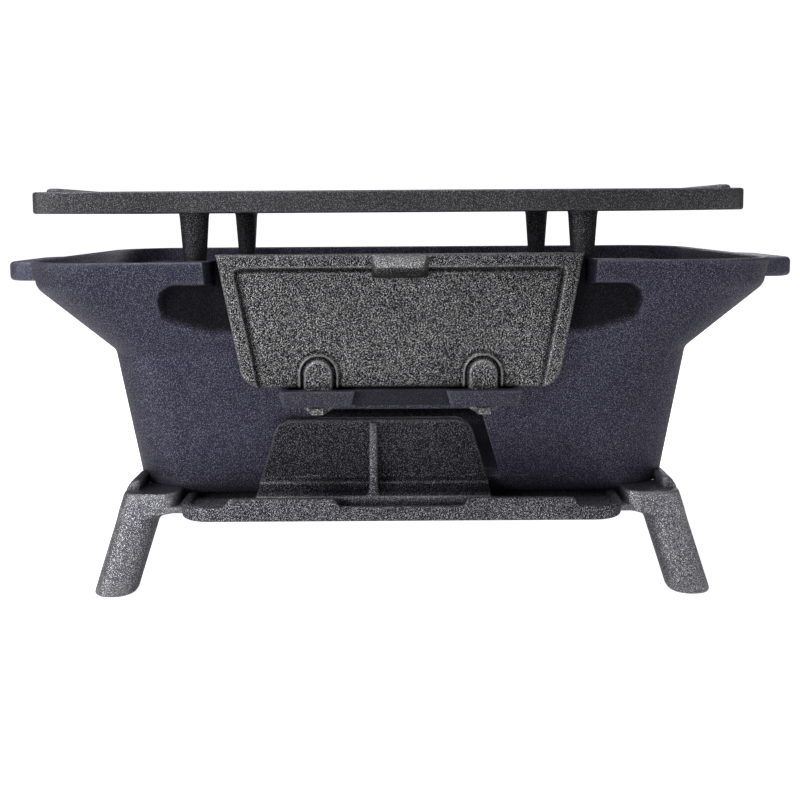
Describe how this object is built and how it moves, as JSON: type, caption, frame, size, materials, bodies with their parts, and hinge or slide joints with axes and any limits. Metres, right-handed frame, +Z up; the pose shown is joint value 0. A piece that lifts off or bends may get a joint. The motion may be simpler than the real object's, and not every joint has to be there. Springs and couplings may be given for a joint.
{
  "type": "hibachi grill",
  "caption": "Cast-iron tabletop hibachi: long tapered fire bowl on a legged base, slotted cooking grate on pegs, drop-down fuel door, sliding draft door, charcoal grate.",
  "frame": {"origin": "on the ground, under the middle of the bowl's rim", "axes": "+X along the grill's length, to the right of someone facing its doors; -Y out of the door side; +Z up"},
  "size_m": [0.5, 0.25, 0.2364],
  "materials": {
    "bowl_iron": "as cast, seasoned, dark charcoal",
    "base_iron": "as cast, seasoned, bright speckle",
    "door_iron": "as cast, seasoned, bright speckle",
    "slider_iron": "as cast, seasoned",
    "grate_iron": "as cast, seasoned",
    "coal_iron": "as cast, seasoned",
    "fastener_steel": "zinc plated, dull"
  },
  "bodies": {
    "grill_body": {"base": "base_iron", "fire_bowl": "bowl_iron", "bowl_bolt_left": "fastener_steel", "bowl_bolt_right": "fastener_steel", "washer_left": "fastener_steel", "washer_right": "fastener_steel", "wing_nut_left": "fastener_steel", "wing_nut_right": "fastener_steel"},
    "fuel_door": {"fuel_door": "door_iron"},
    "draft_slider": {"draft_slider": "slider_iron"},
    "cooking_grate": {"cooking_grate": "grate_iron"},
    "charcoal_grate": {"charcoal_grate": "coal_iron"}
  },
  "joints": [
    {"name": "fuel_door_hinge", "type": "hinge", "parent": "grill_body", "child": "fuel_door", "pos_m": [0, -0.1226, 0.11885], "axis": [1, 0, 0], "range_deg": [0, 160]},
    {"name": "draft_slide", "type": "slide", "parent": "grill_body", "child": "draft_slider", "axis": [1, 0, 0], "range_m": [-0.034, 0.066]},
    {"name": "cooking_grate_lift", "type": "slide", "parent": "grill_body", "child": "cooking_grate", "axis": [0, 0, 1], "range_m": [0, 0.12]},
    {"name": "charcoal_grate_lift", "type": "slide", "parent": "grill_body", "child": "charcoal_grate", "axis": [0, 0, 1], "range_m": [0, 0.1]}
  ]
}
